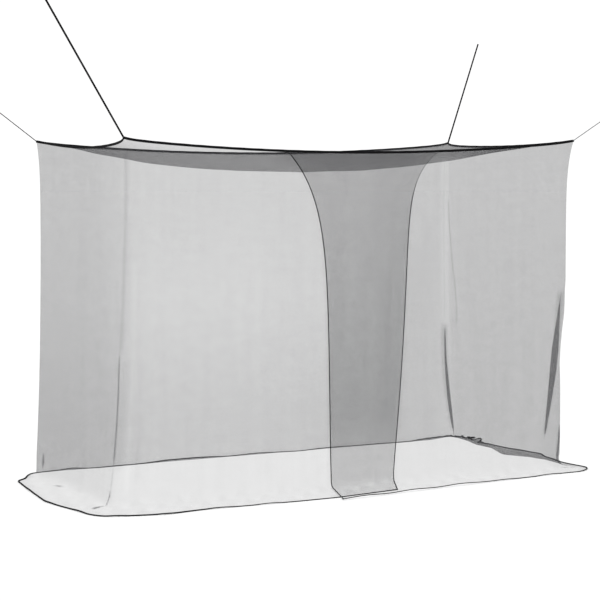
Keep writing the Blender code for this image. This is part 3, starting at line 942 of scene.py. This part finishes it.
def roof_pulls(x, y):
    """Faint creases that run from the hung corners into the roof, and slack along its seams."""
    corners = ((0, 0), (0, WIDTH), (LENGTH, 0), (LENGTH, WIDTH))
    pulls = sum(corner_pulls(np.abs(y - cy), np.abs(x - cx), ROOF_PULLS) for cx, cy in corners)
    inner = smooth(0.0, SLACK_FROM, np.minimum(np.minimum(x, LENGTH - x), np.minimum(y, WIDTH - y)))
    slack = SLACK * np.sin(x * 21.0 + 2.0 * np.sin(y * 5.0)) * np.sin(y * 17.0)
    return (pulls + slack) * inner


roof = make_roof()


# ---- The binding tape round the seam ----
TAPE_POINTS, TAPE_TOP_SQUARE, TAPE_FOOT_SQUARE = 16, 2.6, 4.0
TAPE_WAVE, TAPE_WAVE_TURN = 0.00025, 71.0  # how its top waves: height, radians a metre


def make_tape():
    """A folded tape with a rounded top, its two legs pressed on the seam and stitched."""
    ring, _ = seam_ring()
    middle = np.array([seam(s) for s in ring])
    section = np.array(rounded_section(TAPE_POINTS, TAPE_TOP_SQUARE, TAPE_FOOT_SQUARE))
    section *= (TAPE_THICK / 2, TAPE_TALL / 2)
    rings = []
    for across, up in section:
        line = closed_inset(middle, -across)
        line[:, 2] += up + TAPE_WAVE * np.sin(ring * TAPE_WAVE_TURN) * (up > 0)
        rings.append(line)
    points = np.stack(rings, axis=1)
    points = np.concatenate((points, points[:1]))
    u = np.concatenate((ring, [ROUND]))
    return grid_object("seam_tape", points, u, travelled(section), tape_cloth, closed_across=True)


tape = make_tape()


# ---- Hems, rolled round the cloth's free edges ----
HEM_POINTS, HEM_SQUARE = 10, 3.2
HEM_PAST, HEM_CLEAR = 0.0008, 0.0001  # how far past the cloth's edge, and above the floor


def hem_line(edge, inside, name, size, share):
    """A narrow rolled band along an edge of the cloth, and its stitches' line, way and height.

    inside is the row of points next to the edge, and share how much of its size the band has.
    """
    wide, thick = size
    inward = inside - edge
    inward /= np.linalg.norm(inward, axis=1)[:, None]
    along = np.gradient(edge, axis=0)
    along /= np.linalg.norm(along, axis=1)[:, None]
    inward -= (inward * along).sum(1)[:, None] * along
    inward /= np.linalg.norm(inward, axis=1)[:, None]
    up = np.cross(along, inward)
    edge = edge.copy()
    edge[:, 2] = np.maximum(edge[:, 2], FLOOR + thick * share / 2 + HEM_CLEAR)
    section = np.array(rounded_section(HEM_POINTS, HEM_SQUARE, HEM_SQUARE)) + (1.0, 0.0)
    section = section * (wide / 2, thick / 2) - (HEM_PAST, 0.0)
    points = np.stack(
        [edge + (a * share)[:, None] * inward + (b * share)[:, None] * up for a, b in section], axis=1
    )
    points[..., 2] = np.maximum(points[..., 2], FLOOR + HEM_CLEAR)
    u, v = travelled(edge), travelled(section)
    piece = grid_object(name, points, u, v, hem_cloth, closed_across=True, caps=True)
    return piece, edge + ((wide / 2 - HEM_PAST) * share)[:, None] * inward, up, thick * share


INSIDE = 3  # stations from a side edge to the row that tells its inward direction
INNER_LESS, INNER_NARROWS = 0.6, (1.22, 1.36)  # the inner edge's hem: how much narrower, and where
# How much of its full size the skirt's hem has: station, share
SKIRT_SHARE = np.array(
    (
        (INNER_EDGE, 0.70),
        (-0.50, 0.70),
        (-0.25, 1.00),
        (0.90, 1.00),
        (1.05, 0.65),
        (1.45, 0.52),
        (1.62, 0.85),
        (1.84, 0.85),
        (1.96, 0.52),
        (2.95, 0.52),
        (3.10, 0.75),
        (3.20, 1.00),
        (3.42, 1.00),
        (3.55, 0.75),
        (4.20, 0.80),
        (4.35, 0.70),
        (OUTER_EDGE, 0.70),
    )
)
skirt_hem, *skirt_stitch = hem_line(
    wall[:, -1], wall[:, -2], "skirt_hem", SKIRT_HEM, np.interp(stations, *SKIRT_SHARE.T)
)
inner_share = 1.0 - INNER_LESS * smooth(*INNER_NARROWS, wall[0, 1:, 2] - FLOOR)
inner_hem, *inner_stitch = hem_line(
    wall[0, 1:], wall[INSIDE, 1:], "inner_panel_hem", SIDE_HEM, inner_share
)
outer_hem, *outer_stitch = hem_line(
    wall[-1, 1:], wall[-1 - INSIDE, 1:], "outer_panel_hem", SIDE_HEM, np.ones(wall.shape[1] - 1)
)


# ---- Stitches, by Geometry Nodes along their lines ----
STITCH_SIDES, STITCH_RINGS = 6, 4
SEAM_UP = 0.0028  # of the tape's stitches, above its lower edge


def stitch_tree():
    """Geometry Nodes: a short rounded stitch at every pitch of the line, lying along it."""
    tree = bpy.data.node_groups.new("lay_stitches", "GeometryNodeTree")
    interface = tree.interface
    interface.new_socket("Line", in_out="INPUT", socket_type="NodeSocketGeometry")
    for name in ("Pitch", "Stitch length", "Stitch width"):
        interface.new_socket(name, in_out="INPUT", socket_type="NodeSocketFloat")
    interface.new_socket("Thread", in_out="INPUT", socket_type="NodeSocketMaterial")
    interface.new_socket("Stitches", in_out="OUTPUT", socket_type="NodeSocketGeometry")
    make = tree.nodes.new
    source, sink = make("NodeGroupInput"), make("NodeGroupOutput")
    curve = make("GeometryNodeMeshToCurve")
    tree.links.new(source.outputs["Line"], curve.inputs["Mesh"])
    points = make("GeometryNodeCurveToPoints")
    points.mode = "LENGTH"
    tree.links.new(curve.outputs["Curve"], points.inputs["Curve"])
    tree.links.new(source.outputs["Pitch"], points.inputs["Length"])
    facing, through = make("GeometryNodeInputNamedAttribute"), make("GeometryNodeInputNamedAttribute")
    facing.data_type, through.data_type = "FLOAT_VECTOR", "FLOAT"
    facing.inputs["Name"].default_value = "facing"
    through.inputs["Name"].default_value = "through"
    aim = make("FunctionNodeAlignRotationToVector")
    aim.axis = "X"
    tree.links.new(points.outputs["Tangent"], aim.inputs["Vector"])
    stand = make("FunctionNodeAlignRotationToVector")
    stand.axis, stand.pivot_axis = "Z", "X"
    tree.links.new(aim.outputs["Rotation"], stand.inputs["Rotation"])
    tree.links.new(facing.outputs["Attribute"], stand.inputs["Vector"])
    stitch = make("GeometryNodeMeshUVSphere")
    stitch.inputs["Segments"].default_value = STITCH_SIDES
    stitch.inputs["Rings"].default_value = STITCH_RINGS
    stitch.inputs["Radius"].default_value = 0.5
    size = make("ShaderNodeCombineXYZ")
    tree.links.new(source.outputs["Stitch length"], size.inputs["X"])
    tree.links.new(source.outputs["Stitch width"], size.inputs["Y"])
    tree.links.new(through.outputs["Attribute"], size.inputs["Z"])
    lay = make("GeometryNodeInstanceOnPoints")
    tree.links.new(points.outputs["Points"], lay.inputs["Points"])
    tree.links.new(stitch.outputs["Mesh"], lay.inputs["Instance"])
    tree.links.new(stand.outputs["Rotation"], lay.inputs["Rotation"])
    tree.links.new(size.outputs[0], lay.inputs["Scale"])
    realize = make("GeometryNodeRealizeInstances")
    tree.links.new(lay.outputs["Instances"], realize.inputs["Geometry"])
    paint = make("GeometryNodeSetMaterial")
    tree.links.new(realize.outputs["Geometry"], paint.inputs["Geometry"])
    tree.links.new(source.outputs["Thread"], paint.inputs["Material"])
    tree.links.new(paint.outputs["Geometry"], sink.inputs["Stitches"])
    return tree


STITCHES = stitch_tree()


def make_stitches(name, lines):
    """Rows of stitches along lines, each its points, the ways they face and the cloth's height."""
    mesh = bpy.data.meshes.new(name + "_line")
    points, edges, facing, through = [], [], [], []
    for line, ways, thick in lines:
        first = len(points)
        through += [float(t) + STITCH_PROUD for t in thick]
        points += [tuple(p) for p in line]
        facing += [tuple(w) for w in ways]
        edges += [(k, k + 1) for k in range(first, len(points) - 1)]
    mesh.from_pydata(points, edges, [])
    layer = mesh.attributes.new("facing", "FLOAT_VECTOR", "POINT")
    layer.data.foreach_set("vector", np.array(facing, dtype=np.float32).ravel())
    layer = mesh.attributes.new("through", "FLOAT", "POINT")
    layer.data.foreach_set("value", np.array(through, dtype=np.float32))
    draft = bpy.data.objects.new(name + "_line", mesh)
    bpy.context.scene.collection.objects.link(draft)
    modifier = draft.modifiers.new("stitches", "NODES")
    modifier.node_group = STITCHES
    sizes = {
        "Pitch": STITCH_PITCH,
        "Stitch length": STITCH_LONG,
        "Stitch width": STITCH_WIDE,
        "Thread": thread,
    }
    for item in STITCHES.interface.items_tree:
        if item.item_type == "SOCKET" and item.in_out == "INPUT" and item.name in sizes:
            modifier[item.identifier] = sizes[item.name]
    bpy.context.view_layer.update()
    shown = draft.evaluated_get(bpy.context.evaluated_depsgraph_get())
    plain = bpy.data.meshes.new_from_object(shown)
    plain.name = name
    draft.modifiers.remove(modifier)
    bpy.data.objects.remove(draft)
    plain.shade_smooth()
    if "cloth" not in plain.uv_layers:
        plain.uv_layers.new(name="cloth")
    piece = bpy.data.objects.new(name, plain)
    bpy.context.scene.collection.objects.link(piece)
    return piece


def tape_lines():
    """The tape's stitch line on each side of the roof, the way it faces and the tape's thickness."""
    ring, starts = seam_ring()
    middle = np.array([seam(s) for s in ring])
    low = middle - np.array((0.0, 0.0, TAPE_TALL / 2 - SEAM_UP))
    inward = closed_inset(middle, 1.0) - middle
    inward /= np.linalg.norm(inward, axis=1)[:, None]
    lines = []
    for side, start in enumerate(starts):
        count = len(side_steps(SIDES[side][0]))
        pick = (start + np.arange(1, count - 1)) % len(ring)
        lines.append((low[pick], inward[pick], np.full(len(pick), TAPE_THICK)))
    return lines


def floor_clear(line, way, thick):
    """A stitch line, kept clear of the floor under it."""
    line = line.copy()
    line[:, 2] = np.maximum(line[:, 2], FLOOR + (thick + STITCH_PROUD) / 2)
    return line, way, thick


hem_stitches = make_stitches(
    "hem_stitches", [floor_clear(*row) for row in (skirt_stitch, inner_stitch, outer_stitch)]
)
tape_stitches = make_stitches("tape_stitches", tape_lines())

# ---- Each piece on the root body, and the solids it stands for hidden ----
for piece in (drape, roof, tape, skirt_hem, inner_hem, outer_hem, hem_stitches, tape_stitches):
    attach(piece, "root")
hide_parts("wall_net")
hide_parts("roof_panel")
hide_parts("roof_binding")


# ---- The floor and the light ----
WORLD_WHITE = 1.06
FLOOR_GREY = (0.803, 0.803, 0.803)  # when it is lit, as light as the world around it
FLOOR_REACH, FLOOR_DROP = 300.0, 0.0004
KEY_PLACE, KEY_AIM, KEY_STRENGTH, KEY_SOFT = (-4.5, -5.0, 5.5), (0.0, 0.0, -0.7), 1.2, 40.0


def add_floor():
    mesh = bpy.data.meshes.new("studio_floor")
    corners = [(x * FLOOR_REACH, y * FLOOR_REACH) for x, y in ((-1, -1), (1, -1), (1, 1), (-1, 1))]
    mesh.from_pydata([(x, y, FLOOR - FLOOR_DROP) for x, y in corners], [], [(0, 1, 2, 3)])
    floor = bpy.data.objects.new("studio_floor", mesh)
    bpy.context.scene.collection.objects.link(floor)
    material = bpy.data.materials.new("pale_floor")
    material.use_nodes = True
    shader = material.node_tree.nodes["Principled BSDF"]
    shader.inputs["Base Color"].default_value = (*FLOOR_GREY, 1.0)
    shader.inputs["Roughness"].default_value = 1.0
    shader.inputs["Specular IOR Level"].default_value = 0.0
    mesh.materials.append(material)


def add_light():
    world = bpy.data.worlds.new("studio")
    world.use_nodes = True
    background = world.node_tree.nodes["Background"]
    background.inputs["Color"].default_value = (1.0, 1.0, 1.0, 1.0)
    background.inputs["Strength"].default_value = WORLD_WHITE
    bpy.context.scene.world = world
    data = bpy.data.lights.new("soft_key", "SUN")
    data.energy, data.angle = KEY_STRENGTH, math.radians(KEY_SOFT)
    key = bpy.data.objects.new("soft_key", data)
    key.location = KEY_PLACE
    key.rotation_euler = (Vector(KEY_AIM) - key.location).to_track_quat("-Z", "Y").to_euler()
    bpy.context.scene.collection.objects.link(key)
    bpy.context.scene.view_settings.view_transform = "Standard"


add_floor()
add_light()
for sheer in (drape, roof):
    sheer.visible_shadow = False
    sheer.visible_diffuse = False
